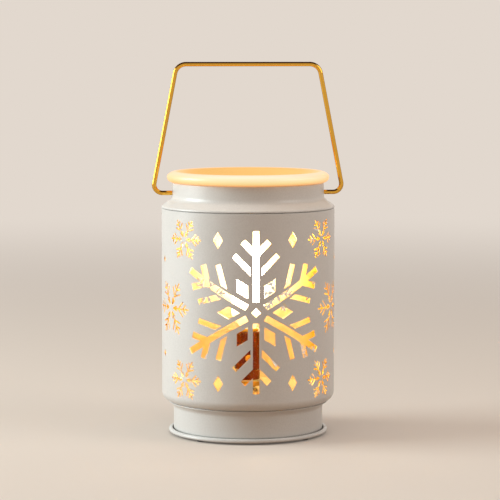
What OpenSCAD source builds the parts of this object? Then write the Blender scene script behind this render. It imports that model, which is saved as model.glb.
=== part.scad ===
// Electric wax warmer in the form of a lantern.
// A bulb inside a pierced tin body lights the cut-outs and heats the glass dish that sits on the neck.
// Millimetres, +Z up, the resting plane at Z = 0, the axis of the body on Z, the large snowflake facing -Y.

/* [Sheet metal] */
// Thickness of every pressed sheet
sheet_t = 0.5; // [0.4:0.05:0.8]

/* [Feet and base] */
// Thickness of the pads under the base
foot_t = 0.8; // [0.5:0.1:2]
// Diameter of a pad
foot_d = 7; // [5:0.5:9]
// Number of pads
foot_count = 4; // [3:1:6]
// Diameter of the base drum
base_d = 94.8; // [90:0.1:98]
// Height of the base drum, up to the start of its flare
base_h = 17.1; // [14.6:0.1:20]
// Thickness of the rolled bead round the bottom
bead_d = 2.8; // [2:0.1:4]
// Blend radius between the drum and its flare
base_blend_r = 4; // [1:0.1:5]
// Height of the raised middle of the bottom plate
plate_step = 1; // [0.5:0.1:2]
// Width of the flat ring that carries the pads
plate_ring_w = 9.5; // [9.5:0.1:12]
// Width of the flange under the lamp shelf
shelf_flange_w = 18; // [12:0.5:24]

/* [Body wall] */
// Outside diameter of the body wall
body_d = 109.6; // [107:0.1:113]
// Height of the body wall, from the lower seam to the shoulder corner
body_h = 123.32; // [122:0.01:140]
// Outside radius of the turned-in lower edge
body_corner_r = 5.5; // [4:0.1:6.5]
// Angle through which the lower edge turns in
body_turn = 70; // [45:1:75]
// Width of the folded seam down the back
back_seam_w = 5; // [3:0.5:7]
// Height of the folded seam above the wall
back_seam_proud = 0.45; // [0.2:0.05:0.5]

/* [Large snowflake] */
// Distance from the middle to the tip of an arm
flake_r = 50.2; // [46:0.1:51]
// Width of an arm
flake_arm_w = 4; // [3:0.1:4.5]
// Distance from the middle to the start of an arm
flake_arm_start = 6.6; // [5.5:0.1:8]
// Distance from the middle to the fork of an arm
flake_fork_at = 34.8; // [33:0.1:37]
// Length of a fork prong along its lower edge
flake_fork_len = 10.6; // [6:0.1:12]
// Width of a fork prong
flake_fork_w = 3.9; // [2.5:0.1:4.5]
// Distance from the middle to the side branches
flake_branch_at = 22.7; // [21:0.1:24]
// Length of a side branch along its lower edge
flake_branch_len = 16; // [10:0.1:17]
// Width of a side branch
flake_branch_w = 3.4; // [2.5:0.1:4]
// Gap between an arm and its side branches
flake_branch_gap = 1.5; // [1:0.1:2]
// Distance from the middle to the near end of a rhombus
flake_rhombus_at = 10.2; // [9:0.1:12]
// Length of a rhombus
flake_rhombus_len = 13.8; // [8:0.1:15]
// Width of a rhombus
flake_rhombus_w = 7.8; // [5:0.1:8.5]
// Width of the diamond in the middle, corner to corner
flake_middle_w = 5.8; // [4:0.1:7]

/* [Small cut-outs] */
// Distance from the middle to the tip of a small snowflake
small_r = 13.4; // [11:0.1:14]
// Distance from the middle to the tip of a medium snowflake
medium_r = 18.2; // [15:0.1:19]
// Width of a stroke of these snowflakes
stroke_w = 1; // [0.8:0.1:1.6]
// Height of the upper and lower rows from the ends of the wall
row_margin = 17.5; // [16:0.1:19]
// Angle from the large snowflake to the small ones
small_turn = 51.2; // [50.5:0.1:52]
// Angle from the large snowflake to the medium ones
medium_turn = 66.3; // [65:0.1:67]
// Angle from the middle of the back to the small pair there
back_pair_turn = 25; // [23:0.1:26]
// Angle from the large snowflake to the near diamonds
diamond_turn = 24.9; // [24:0.1:26]
// Height of the near diamonds from the ends of the wall
diamond_margin = 16.9; // [16:0.1:19]
// Width of a near diamond
diamond_w = 6.2; // [4:0.1:7]
// Height of a near diamond
diamond_h = 10.2; // [6:0.1:11]
// Angle from the large snowflake to the far diamonds
far_turn = 77.4; // [76:0.1:80]
// Height of the far diamonds above and below the middle
far_rise = 29.7; // [28:0.1:32]
// Width of a far diamond
far_w = 3.2; // [2:0.1:4]
// Height of a far diamond
far_h = 4.8; // [3:0.1:6]

/* [Collar] */
// Outside diameter of the neck
neck_d = 96.2; // [94:0.1:97]
// Height of the shoulder, from the corner of the hem to the neck
shoulder_h = 4.65; // [4:0.05:8]
// Height of the straight neck
neck_h = 10.35; // [8:0.05:14]
// Blend radius between neck and shoulder
neck_blend_r = 4; // [1:0.1:5]
// Height of the hem that overlaps the body wall
hem_h = 0.9; // [0.8:0.1:2]
// Width of the turned-in seat at the top of the neck
seat_w = 2.4; // [1.5:0.1:3]

/* [Wax dish] */
// Diameter over the rim of the dish
dish_d = 102.8; // [100:0.1:104]
// Diameter at the crest of the rim
dish_crest_d = 92; // [88:0.1:94]
// Thickness of the bowl
dish_wall = 3.2; // [2.5:0.1:4]
// Depth of the bowl below the seat, to its floor inside
dish_sink = 7.5; // [6:0.1:8]
// Slope of the bowl's side
dish_slope = 50; // [45:1:60]

/* [Bail] */
// Thickness of the wire
wire_d = 2.8; // [2:0.1:3]
// Height of the top bar above the pivots, on the middle of the wire
bail_rise = 81; // [75:0.1:100]
// Width of the bail at the pivots, on the middle of the wire
bail_low_w = 121.2; // [118:0.1:126]
// Width of the bail at the top bar, on the middle of the wire
bail_top_w = 90; // [80:0.1:110]
// Bend radius of the upper corners
bail_top_r = 7; // [4:0.1:12]
// Bend radius of the lower corners
bail_low_r = 5.2; // [2.5:0.1:7]
// Height of the neck's top above the pivots
pivot_drop = 6.8; // [6:0.1:7]
// Diameter of the upset head that keeps the wire in the neck
upset_d = 4.2; // [3.6:0.1:5]

/* [Lamp holder] */
// Height of the bridge that lifts the lamp holder off the shelf
bridge_h = 7.2; // [7:0.1:14]
// Length of the bridge's top
bridge_l = 17; // [16:0.1:22]
// Width of the bridge
bridge_w = 13; // [12:0.1:16]
// Length of each foot of the bridge
bridge_foot_l = 8; // [7:0.1:10]
// Thickness of the bridge
bridge_t = 1; // [0.8:0.1:1.5]
// Thickness of the bridge's screws
screw_d = 3; // [2.5:0.1:3.5]
// Height of the lamp holder
holder_h = 31; // [29:0.1:36]
// Wall of the lamp holder round its brass shell
holder_wall = 2; // [1.6:0.1:3]
// Depth of the lamp holder's mouth
holder_bore_h = 18.5; // [17.5:0.1:20]
// Diameter of the hollow threaded tube that holds the lamp holder to the bridge
nipple_d = 9.6; // [9:0.1:10]
// Bore of that tube
nipple_bore_d = 6.6; // [6:0.1:7]
// Thickness of a lead's insulation, across
lead_d = 2; // [1.6:0.1:2.4]

/* [Bulb] */
// Diameter of the bulb's screw cap
cap_d = 11.8; // [11:0.1:12.5]
// Diameter of the bulb's glass
bulb_d = 21; // [18:0.1:26]
// Height of the glass above the lamp holder
bulb_h = 52.5; // [45:0.1:58]
// Thickness of the glass
glass_t = 0.7; // [0.5:0.1:1]
// Height of the filament above the lamp holder
filament_h = 32; // [26:0.1:36]

/* [Cord inlet] */
// Bore of the bush that a cord would pass through
inlet_d = 5.6; // [4:0.1:7]
// Width of the bush's flanges beyond its neck
inlet_flange_w = 0.9; // [0.6:0.1:1.2]

/* [Clearances] */
// Between the wall and the hem of the collar
hem_clear = 0.05; // [0.02:0.01:0.1]
// Between the rolled bead and the drum
bead_clear = 0.3; // [0.05:0.05:0.5]
// Between the turned-in edge of the wall and the base
seam_clear = 0.8; // [0.2:0.05:1]
// Round the wire in its holes
pivot_clear = 0.08; // [0.03:0.01:0.1]
// Round a part that drops into another
drop_clear = 0.4; // [0.3:0.05:0.6]
// Between bulb cap and brass shell
thread_clear = 0.3; // [0.3:0.05:0.5]
// Round fixed parts that are pushed together
push_clear = 0.05; // [0.02:0.01:0.1]

/* [Hidden] */
$fn = 96;

pearl = "#e4e0d6";
gold = "#c9962f";
brass = "#c2a04a";
steel = "#a9adb0";
phenolic = "#3a2012";
rubber = "#2b2b2b";
nylon = "#d8d4c8";
opal = "#fff1cf";
clear_glass = "#dfe6e8";

slant = 45;
bend_swell = 0.02;
overshoot = 1;
body_r = body_d / 2;
base_r = base_d / 2;
neck_r = neck_d / 2;
wire_r = wire_d / 2;

// Levels of the base
plate_z = foot_t;
drum_z = plate_z + sheet_t;
drum_top_z = plate_z + base_h;
bead_r = bead_d / 2;
bead_ring_r = base_r + bead_clear + bead_r;
foot_ring_r = bead_ring_r - plate_ring_w / 2;
plate_middle_r = bead_ring_r - plate_ring_w;

// The wall's lower edge turns in over the flare of the base
seam_r = body_r - body_corner_r * (1 - cos(body_turn));
upstand_r = seam_r - sheet_t * cos(body_turn) - seam_clear;
flare_w = abs(upstand_r - base_r);
flare_top_z = drum_top_z + flare_w;
seam_z = flare_top_z + seam_r - upstand_r;
wall_z = seam_z + body_corner_r * sin(body_turn);
flare_blend_r = min(base_blend_r, flare_w);
shelf_z = wall_z;
shelf_r = body_r - sheet_t - drop_clear;
shelf_lip_r = upstand_r + push_clear + sheet_t;
shelf_lip_h = 1.2;

// Levels of the collar, whose hem lies flush over the stepped-in top of the wall
wall_step = sheet_t + hem_clear;
wall_step_gap = 0.25;
wall_tuck = 0.55;
shoulder_z = seam_z + body_h;
hem_z = shoulder_z - hem_h;
neck_z = shoulder_z + shoulder_h;
neck_top_z = neck_z + neck_h;
seat_r = neck_r - seat_w;
wall_top_z = shoulder_z - wall_tuck;
wall_step_z = hem_z - wall_step_gap - wall_step;
pivot_z = neck_top_z - pivot_drop;
middle_z = (seam_z + hem_z) / 2;

// How deep a cut-out reaches inside the wall and how far it starts outside
cut_in = 9;
cut_out = 2;

// A small snowflake, as shares of its radius
root_share = 0.14;
barb_share = [0.11, 0.38];
waist_share = 0.36;
long_at_share = 0.46;
long_share = 0.34;
short_at_share = 0.7;
short_share = 0.2;
small_slope = 46;

// Rounds of the base, the collar and the dish
hem_round = 1;
upstand_round = 0.9;
seat_round = 0.9;
dish_under_r = 3.2;
dish_shoulder_r = 2.2;
dish_lip_r = 6;
dish_bowl_r = 9;
dish_ring_w = 1.8;
dish_ring_h = 1.6;
upset_t = 1;

// Levels of the lamp holder
holder_z = shelf_z + bridge_h;
holder_top_z = holder_z + holder_h;
cap_r = cap_d / 2;
shell_t = 0.35;
shell_r = cap_r + thread_clear;
holder_bore_r = shell_r + shell_t + push_clear;
holder_r = holder_bore_r + holder_wall;
holder_floor_z = holder_top_z - holder_bore_h;
shell_inset = 0.6;
nipple_r = nipple_d / 2;
nipple_entry = 5;
nipple_tail = 1;
nut_h = 3;
nut_af = 14;
holder_foot_h = 6;
holder_step = 1;
holder_foot_round = 0.6;
holder_lip_round = 0.9;
bridge_bend_r = 1.4;

// Screws, bushes and leads
screw_r = screw_d / 2;
screw_x = (bridge_l + bridge_foot_l + bridge_t) / 2;
screw_head_r = 2.7;
screw_head_h = 1.6;
screw_head_round = 1;
screw_tail = 1;
screw_nut_h = 2.2;
screw_nut_af = 1.8 * screw_d;
slot_w = 0.7;
slot_depth = 0.7;
bush_flange_w = 1;
bush_flange_t = 0.9;
bush_drop = 2;
bush_chamfer = 0.5;
lead_r = lead_d / 2;
lead_x = nipple_bore_d / 4;
lead_end_h = 3;
lead_top_z = holder_z + nipple_entry + lead_end_h;
lead_run_h = 8.2;
lead_run_z = plate_z + lead_run_h;
lead_bend_r = 6;
splice_x = 18;
splice_l = 14;
splice_wall = 1.85;
splice_r = lead_r + push_clear + splice_wall;
splice_depth = 9;
splice_gap = 1;
splice_round = 1.4;
terminal_rise = 1.4;
terminal_z = holder_floor_z + terminal_rise;
terminal_web = 0.4;
terminal_depth = holder_wall - terminal_web;
terminal_head_r = 2.5;
terminal_head_h = 2.2;
terminal_round = 0.6;

// Levels of the bulb
contact_h = 1.6;
contact_w = 3.6;
contact_t = 0.4;
contact_ramp = 1.2;
contact_pad = 1.6;
contact_bend_r = 1;
tip_z = holder_floor_z + contact_h;
tip_h = 1;
tip_r = 2;
tip_round = 0.6;
insulator_z = tip_z + tip_h;
insulator_h = 2.4;
insulator_entry = 0.8;
cap_z = insulator_z + insulator_h - insulator_entry;
cap_t = 0.4;
cap_skirt_h = 1.3;
cap_flare = 0.7;
cap_rim_z = holder_top_z + drop_clear;
cement_gap = 0.3;
neck_glass_r = cap_r - cap_t - cement_gap;
bulb_r = bulb_d / 2;
glass_entry = 2.5;
glass_z = holder_top_z - glass_entry;
glass_top_z = holder_top_z + bulb_h;
waist_h = 3;
waist_z = holder_top_z + waist_h;
waist_round = 3.5;
swell_h = 9;
swell_z = holder_top_z + swell_h;
swell_round = 8;
stem_lift = 0.4;
stem_z = glass_z + stem_lift;
stem_edge = 1;
stem_taper = 5;
stem_r = 2;
stem_top_r = 1.6;
stem_round = 0.8;
stem_h = 11;
stem_top_z = holder_top_z + stem_h;
lead_in_r = 0.3;
lead_in_x = 0.8;
lead_in_h = 3;
lead_in_bend_r = 2;
filament_z = holder_top_z + filament_h;
filament_x = 5;
filament_rise = 4;
filament_r = 0.45;
filament_bend_r = 3;
filament_gap = 0.15;

// Cord inlet in the back of the drum
inlet_r = inlet_d / 2;
inlet_z = (plate_z + bead_d + drum_top_z) / 2;
inlet_wall = 1.5;
inlet_neck_r = inlet_r + inlet_wall;
inlet_flange_r = inlet_neck_r + inlet_flange_w;
inlet_flange_t = 1.8;
inlet_chamfer = 1;

function unit(v) = v / norm(v);
function all_but_first(list) = [for (i = [1:len(list) - 1]) list[i]];
function left_of(a, b) = let(d = unit(b - a)) [-d[1], d[0]];

// Points on an arc
function arc(centre, r, from, to, steps = 8) =
    [for (i = [0:steps]) let(a = from + (to - from) * i / steps) centre + r * [cos(a), sin(a)]];

// Points of the arc that rounds the corner p between a and b
function corner(a, p, b, r, steps) =
    let(u = unit(a - p), v = unit(b - p), half = acos(u * v) / 2,
        centre = p + unit(u + v) * r / sin(half),
        s = p + u * r / tan(half) - centre,
        e = p + v * r / tan(half) - centre,
        from = atan2(s[1], s[0]),
        turn = atan2(s[0] * e[1] - s[1] * e[0], s * e))
    arc(centre, r, from, from + turn, steps);

// A path whose points are [x, y, corner radius]
function rounded(points, steps = 6) =
    [for (i = [0:len(points) - 1])
        let(p = [points[i][0], points[i][1]])
        each (points[i][2] == 0 ? [p] :
            corner([points[i - 1][0], points[i - 1][1]], p, [points[i + 1][0], points[i + 1][1]],
                points[i][2], steps))];

// The same path, moved sideways to its left by t
function beside(path, t) =
    let(last = len(path) - 1)
    [for (i = [0:last])
        let(n1 = left_of(path[max(i - 1, 0)], path[max(i, 1)]),
            n2 = left_of(path[min(i, last - 1)], path[min(i + 1, last)]))
        path[i] + t * (n1 + n2) / (1 + n1 * n2)];

// Outline of a sheet that follows a path, with its thickness on the left
function strip(path, t) =
    let(other = beside(path, t))
    concat(path, [for (i = [len(other) - 1:-1:0]) other[i]]);

// Outline mirrored about the line x = 0, for points that run up the right side
function both_sides(right) =
    concat(right, [for (i = [len(right) - 1:-1:0]) [-right[i][0], right[i][1]]]);

// Turns an outline by an angle from upright and puts it at a place on the unrolled wall
function placed(outline, turn, u, v) =
    [for (p = outline) [u + p[1] * sin(turn) + p[0] * cos(turn), v + p[1] * cos(turn) - p[0] * sin(turn)]];

// A side branch that leaves a stem at a slant: root x, root y, length of the lower edge, width, angle
function branch(x, y, len, w, slope) =
    [[x, y], [x + len * sin(slope), y + len * cos(slope)],
        [x + len * sin(slope) - w * cos(slope), y + len * cos(slope) + w * sin(slope)],
        [x, y + w / sin(slope)]];

function rhombus(w, h) = [[0, -h / 2], [w / 2, 0], [0, h / 2], [-w / 2, 0]];

function sum(list, i = 0) = i == len(list) ? 0 : list[i] + sum(list, i + 1);

module revolved(outline) {
    rotate_extrude() polygon(outline);
}

// Cuts an outline of the unrolled wall through the wall, square to it at the outline's own middle
module punch(outline) {
    mid = sum([for (p = outline) p[0]]) / len(outline);
    rotate([0, 0, mid / body_r * 180 / PI])
        translate([0, cut_in - body_r, 0])
            rotate([90, 0, 0])
                linear_extrude(cut_in + cut_out)
                    polygon([for (p = outline) [body_r * sin((p[0] - mid) / body_r * 180 / PI), p[1]]]);
}

// The large six-armed snowflake
module large_flake() {
    half_w = flake_arm_w / 2;
    fork = branch(half_w, flake_fork_at, flake_fork_len, flake_fork_w, slant);
    arm = both_sides(concat([[half_w, flake_arm_start]], fork, [[half_w, flake_r]]));
    side = branch(half_w + flake_branch_gap, flake_branch_at, flake_branch_len, flake_branch_w, slant);
    other_side = [for (p = side) [-p[0], p[1]]];
    lozenge = [for (p = rhombus(flake_rhombus_w, flake_rhombus_len))
        [p[0], p[1] + flake_rhombus_at + flake_rhombus_len / 2]];
    for (turn = [0:60:300]) {
        punch(placed(arm, turn, 0, middle_z));
        punch(placed(side, turn, 0, middle_z));
        punch(placed(other_side, turn, 0, middle_z));
        punch(placed(lozenge, turn + 30, 0, middle_z));
    }
    punch(placed(rhombus(flake_middle_w, flake_middle_w), 0, 0, middle_z));
}

// A small snowflake: six arms, each with a barbed root and two pairs of branches
module small_flake(turn_round, z, r) {
    half_w = stroke_w / 2;
    long = branch(half_w, long_at_share * r, long_share * r, stroke_w, small_slope);
    short = branch(half_w, short_at_share * r, short_share * r, stroke_w, small_slope);
    right = concat([[half_w, root_share * r], barb_share * r, [half_w, waist_share * r]],
        long, short, [[half_w, r]]);
    for (turn = [30:60:330])
        punch(placed(both_sides(right), turn, turn_round / 180 * PI * body_r, z));
}

module diamond(turn_round, z, w, h) {
    punch(placed(rhombus(w, h), 0, turn_round / 180 * PI * body_r, z));
}

// Every cut-out of the wall, alike on the left and on the right
module cut_outs() {
    low_z = seam_z + row_margin;
    high_z = hem_z - row_margin;
    large_flake();
    for (side = [-1, 1]) {
        for (z = [low_z, high_z]) {
            small_flake(side * small_turn, z, small_r);
            small_flake(side * (180 - small_turn), z, small_r);
        }
        for (z = [seam_z + diamond_margin, hem_z - diamond_margin]) {
            diamond(side * diamond_turn, z, diamond_w, diamond_h);
            diamond(side * (180 - diamond_turn), z, diamond_w, diamond_h);
        }
        for (z = [middle_z - far_rise, middle_z + far_rise]) {
            diamond(side * far_turn, z, far_w, far_h);
            diamond(side * (180 - far_turn), z, far_w, far_h);
        }
        small_flake(side * medium_turn, middle_z, medium_r);
        small_flake(side * (180 - medium_turn), middle_z, medium_r);
        small_flake(side * (180 - back_pair_turn), middle_z, small_r);
    }
}

// Length of the straight lost to the bend at the corner p
function bend_cut(a, p, b, r) = r / tan(acos(unit(a - p) * unit(b - p)) / 2);

// How far a straight reaches into the bend after it, short of the bend's outer side
function bend_overlap(r) = 0.5 * sqrt(2 * r * bend_swell);

// Round wire along a flat path of [x, z] points in the XZ plane, a little swollen where it is bent
module bent_wire(path, bends, r) {
    last = len(path) - 1;
    for (i = [0:last - 1]) {
        way = unit(path[i + 1] - path[i]);
        from = path[i] + way * (i == 0 ? 0 :
            bend_cut(path[i - 1], path[i], path[i + 1], bends[i - 1]) - bend_overlap(bends[i - 1]));
        to = path[i + 1] - way * (i == last - 1 ? 0 :
            bend_cut(path[i], path[i + 1], path[i + 2], bends[i]) - bend_overlap(bends[i]));
        translate([from[0], 0, from[1]])
            rotate([0, atan2(way[0], way[1]), 0])
                cylinder(h = norm(to - from), r = r);
    }
    for (i = [1:last - 1]) {
        u = unit(path[i - 1] - path[i]);
        v = unit(path[i + 1] - path[i]);
        half = acos(u * v) / 2;
        centre = path[i] + unit(u + v) * bends[i - 1] / sin(half);
        s = path[i] + u * bends[i - 1] / tan(half) - centre;
        e = path[i] + v * bends[i - 1] / tan(half) - centre;
        turn = atan2(s[0] * e[1] - s[1] * e[0], s * e);
        first = turn > 0 ? s : e;
        translate([centre[0], 0, centre[1]])
            rotate([90, 0, 0])
                rotate([0, 0, atan2(first[1], first[0])])
                    rotate_extrude(angle = abs(turn))
                        translate([bends[i - 1], 0])
                            circle(r = r + bend_swell);
    }
}

// Bottom plate with a stepped middle, its edge rolled to a bead round the drum
module base_plate() {
    low = plate_z;
    high = plate_z + plate_step;
    middle_r = plate_middle_r - plate_step;
    color(pearl) {
        revolved([[0, high], [middle_r, high], [plate_middle_r, low], [bead_ring_r, low],
            [bead_ring_r, low + sheet_t], [plate_middle_r, low + sheet_t],
            [middle_r, high + sheet_t], [0, high + sheet_t]]);
        rotate_extrude()
            translate([bead_ring_r, plate_z + bead_r])
                circle(r = bead_r);
    }
}

// Rubber pads under the base
module feet() {
    color(rubber)
        for (i = [0:foot_count - 1])
            rotate([0, 0, 45 + i * 360 / foot_count])
                translate([foot_ring_r, 0, 0])
                    cylinder(h = foot_t, d = foot_d);
}

// Drum of the base, its flare, the upstand inside the wall and the flange that carries the lamp shelf
module base_shell() {
    reach = inlet_flange_t + sheet_t;
    flange_z = shelf_z - sheet_t;
    path = rounded([[base_r, drum_z, 0], [base_r, drum_top_z, flare_blend_r],
        [upstand_r, flare_top_z, 0], [upstand_r, flange_z, upstand_round],
        [upstand_r - shelf_flange_w, flange_z, 0]]);
    color(pearl)
        difference() {
            revolved(strip(path, sheet_t));
            translate([0, base_r - reach, inlet_z])
                rotate([-90, 0, 0])
                    cylinder(h = 2 * reach, r = inlet_neck_r + push_clear);
        }
}

// Rubber bush in the back of the drum, where a cord would enter
module cord_bush() {
    wall_near = sqrt(pow(base_r - sheet_t, 2) - pow(inlet_flange_r, 2)) - push_clear;
    wall_far = base_r + push_clear;
    color(rubber)
        translate([0, 0, inlet_z])
            rotate([-90, 0, 0])
                revolved([[inlet_r, wall_near - inlet_flange_t], [inlet_flange_r, wall_near - inlet_flange_t],
                    [inlet_flange_r, wall_near], [inlet_neck_r, wall_near], [inlet_neck_r, wall_far],
                    [inlet_flange_r, wall_far], [inlet_flange_r - inlet_chamfer, wall_far + inlet_flange_t],
                    [inlet_r, wall_far + inlet_flange_t]]);
}

// Disc that closes the base and carries the lamp holder, with a lip over the upstand
module lamp_shelf() {
    lip_z = shelf_z - sheet_t - shelf_lip_h;
    color(gold)
        difference() {
            revolved([[0, shelf_z - sheet_t], [shelf_lip_r - sheet_t, shelf_z - sheet_t],
                [shelf_lip_r - sheet_t, lip_z], [shelf_lip_r, lip_z], [shelf_lip_r, shelf_z - sheet_t],
                [shelf_r, shelf_z - sheet_t], [shelf_r, shelf_z], [0, shelf_z]]);
            translate([0, 0, shelf_z - 2 * sheet_t])
                cylinder(h = 3 * sheet_t, r = nipple_r + push_clear);
            for (side = [-1, 1])
                translate([side * screw_x, 0, shelf_z - 2 * sheet_t])
                    cylinder(h = 3 * sheet_t, r = screw_r + push_clear);
        }
}

// Plastic bush that guards the leads where they pass through the shelf
module lead_bush() {
    flange_r = nipple_r + bush_flange_w;
    top = shelf_z + bush_flange_t;
    bore_r = nipple_bore_d / 2;
    low = shelf_z - sheet_t - bush_drop;
    color(nylon)
        revolved([[bore_r, low], [nipple_r - bush_chamfer, low], [nipple_r, low + bush_chamfer],
            [nipple_r, shelf_z], [flange_r, shelf_z], [flange_r, top], [bore_r, top]]);
}

// Folded steel bridge that stands on the shelf
module holder_bridge() {
    bend = bridge_bend_r;
    top = holder_z - bridge_t;
    foot_end = bridge_l / 2 + bridge_foot_l;
    path = rounded([[-foot_end, shelf_z, 0], [-bridge_l / 2, shelf_z, bend], [-bridge_l / 2, top, bend],
        [bridge_l / 2, top, bend], [bridge_l / 2, shelf_z, bend], [foot_end, shelf_z, 0]]);
    color(steel)
        difference() {
            translate([0, bridge_w / 2, 0])
                rotate([90, 0, 0])
                    linear_extrude(bridge_w)
                        polygon(strip(path, bridge_t));
            translate([0, 0, top - bridge_t])
                cylinder(h = 3 * bridge_t, r = nipple_r + push_clear);
            for (side = [-1, 1])
                translate([side * screw_x, 0, shelf_z - bridge_t])
                    cylinder(h = 3 * bridge_t, r = screw_r + push_clear);
        }
}

// Pan-headed screws that hold the bridge to the shelf
module bridge_screws() {
    head_z = shelf_z + bridge_t;
    tail_z = shelf_z - sheet_t - screw_nut_h - screw_tail;
    color(steel)
        for (side = [-1, 1])
            translate([side * screw_x, 0, 0])
                difference() {
                    revolved(rounded([[0, tail_z, 0], [screw_r, tail_z, 0], [screw_r, head_z, 0],
                        [screw_head_r, head_z, 0], [screw_head_r, head_z + screw_head_h, screw_head_round],
                        [0, head_z + screw_head_h, 0]]));
                    translate([-screw_head_r, -slot_w / 2, head_z + screw_head_h - slot_depth])
                        cube([2 * screw_head_r, slot_w, slot_depth + overshoot]);
                }
}

module hex_nut(across_flats, h, bore_r) {
    difference() {
        cylinder(h = h, d = across_flats / cos(30), $fn = 6);
        translate([0, 0, -overshoot])
            cylinder(h = h + 2 * overshoot, r = bore_r);
    }
}

module bridge_nuts() {
    color(steel)
        for (side = [-1, 1])
            translate([side * screw_x, 0, shelf_z - sheet_t - screw_nut_h])
                hex_nut(screw_nut_af, screw_nut_h, screw_r + push_clear);
}

// Hollow threaded tube through the bridge into the foot of the lamp holder
module holder_nipple() {
    low = holder_z - bridge_t - nut_h - nipple_tail;
    h = holder_z + nipple_entry - low;
    color(brass)
        translate([0, 0, low])
            difference() {
                cylinder(h = h, r = nipple_r);
                translate([0, 0, -overshoot])
                    cylinder(h = h + 2 * overshoot, d = nipple_bore_d);
            }
}

module nipple_nut() {
    color(brass)
        translate([0, 0, holder_z - bridge_t - nut_h])
            rotate([0, 0, 30])
                hex_nut(nut_af, nut_h, nipple_r + push_clear);
}

// Moulded lamp holder, stepped in at its foot, with a mouth for the brass shell
module lamp_holder() {
    step_z = holder_z + holder_foot_h;
    foot_r = holder_r - holder_step;
    color(phenolic)
        difference() {
            revolved(rounded([[0, holder_z, 0], [foot_r, holder_z, holder_foot_round], [foot_r, step_z, 0],
                [holder_r, step_z + holder_step, 0], [holder_r, holder_top_z, holder_lip_round],
                [0, holder_top_z, 0]]));
            translate([0, 0, holder_floor_z])
                cylinder(h = holder_bore_h + overshoot, r = holder_bore_r);
            translate([0, 0, holder_z - overshoot])
                cylinder(h = nipple_entry + overshoot, r = nipple_r + push_clear);
            translate([0, 0, holder_z])
                cylinder(h = lead_top_z - holder_z, d = nipple_bore_d);
            for (side = [0, 180])
                rotate([0, 0, side])
                    translate([0, -holder_r - overshoot, terminal_z])
                        rotate([-90, 0, 0])
                            cylinder(h = overshoot + terminal_depth, r = terminal_head_r + push_clear);
        }
}

// Brass shell that takes the bulb's thread
module screw_shell() {
    color(brass)
        revolved([[shell_r, holder_floor_z], [shell_r + shell_t, holder_floor_z],
            [shell_r + shell_t, holder_top_z - shell_inset], [shell_r, holder_top_z - shell_inset]]);
}

// Springy strip in the floor of the lamp holder
module centre_contact() {
    reach = shell_r - contact_bend_r;
    top = tip_z - contact_t;
    path = rounded([[-reach, holder_floor_z, 0], [-contact_ramp, holder_floor_z, contact_bend_r],
        [0, top, contact_bend_r], [contact_pad, top, 0]]);
    color(brass)
        translate([0, contact_w / 2, 0])
            rotate([90, 0, 0])
                linear_extrude(contact_w)
                    polygon(strip(path, contact_t));
}

// Terminal screws in the sides of the lamp holder
module terminal_screws() {
    seat = holder_r - terminal_depth;
    color(brass)
        for (side = [0, 180])
            rotate([0, 0, side])
                translate([0, -seat, terminal_z])
                    rotate([90, 0, 0])
                        difference() {
                            revolved(rounded([[0, 0, 0], [terminal_head_r, 0, 0],
                                [terminal_head_r, terminal_head_h, terminal_round],
                                [0, terminal_head_h, 0]]));
                            translate([-terminal_head_r, -slot_w / 2, terminal_head_h - slot_depth])
                                cube([2 * terminal_head_r, slot_w, slot_depth + overshoot]);
                        }
}

// One insulated lead, from the lamp holder down through the shelf and out to its splice
module lead(side) {
    end_x = splice_x + splice_depth - splice_gap;
    bent_wire([[side * lead_x, lead_top_z], [side * lead_x, lead_run_z], [side * end_x, lead_run_z]],
        [lead_bend_r], lead_r);
}

module live_lead() {
    color("#5a3a22") lead(1);
}

module neutral_lead() {
    color("#2f4f86") lead(-1);
}

// Closed crimp caps where the leads would join a cord
module splice_caps() {
    inner_r = lead_r + push_clear;
    color(nylon)
        for (side = [0, 180])
            rotate([0, 0, side])
                translate([splice_x, 0, lead_run_z])
                    rotate([0, 90, 0])
                        revolved(rounded([[inner_r, 0, 0], [splice_r, 0, 0],
                            [splice_r, splice_l, splice_round], [0, splice_l, 0],
                            [0, splice_depth, 0], [inner_r, splice_depth, 0]]));
}

// Rolled wall: its lower edge turned in, its top stepped in under the hem, a folded seam, the cut-outs
module body_wall() {
    centre = [body_r - body_corner_r, wall_z];
    path = concat(arc(centre, body_corner_r, -body_turn, 0), [[body_r, wall_step_z],
        [body_r - wall_step, wall_step_z + wall_step], [body_r - wall_step, wall_top_z]]);
    seam_turn = back_seam_w / body_r * 180 / PI;
    color(pearl)
        difference() {
            union() {
                revolved(strip(path, sheet_t));
                rotate([0, 0, 90 - seam_turn / 2])
                    rotate_extrude(angle = seam_turn)
                        translate([body_r - sheet_t / 2, wall_z + sheet_t])
                            square([back_seam_proud + sheet_t / 2, wall_step_z - wall_z - 2 * sheet_t]);
            }
            cut_outs();
        }
}

// Neck, shoulder and hem in one pressing, with a turned-in seat for the dish
module collar() {
    path = rounded([[body_r, hem_z, 0], [body_r, shoulder_z, hem_round], [neck_r, neck_z, neck_blend_r],
        [neck_r, neck_top_z, seat_round], [seat_r, neck_top_z, 0]]);
    color(pearl)
        difference() {
            revolved(strip(path, sheet_t));
            translate([-neck_r - overshoot, 0, pivot_z])
                rotate([0, 90, 0])
                    cylinder(h = 2 * (neck_r + overshoot), r = wire_r + pivot_clear);
        }
}

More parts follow.
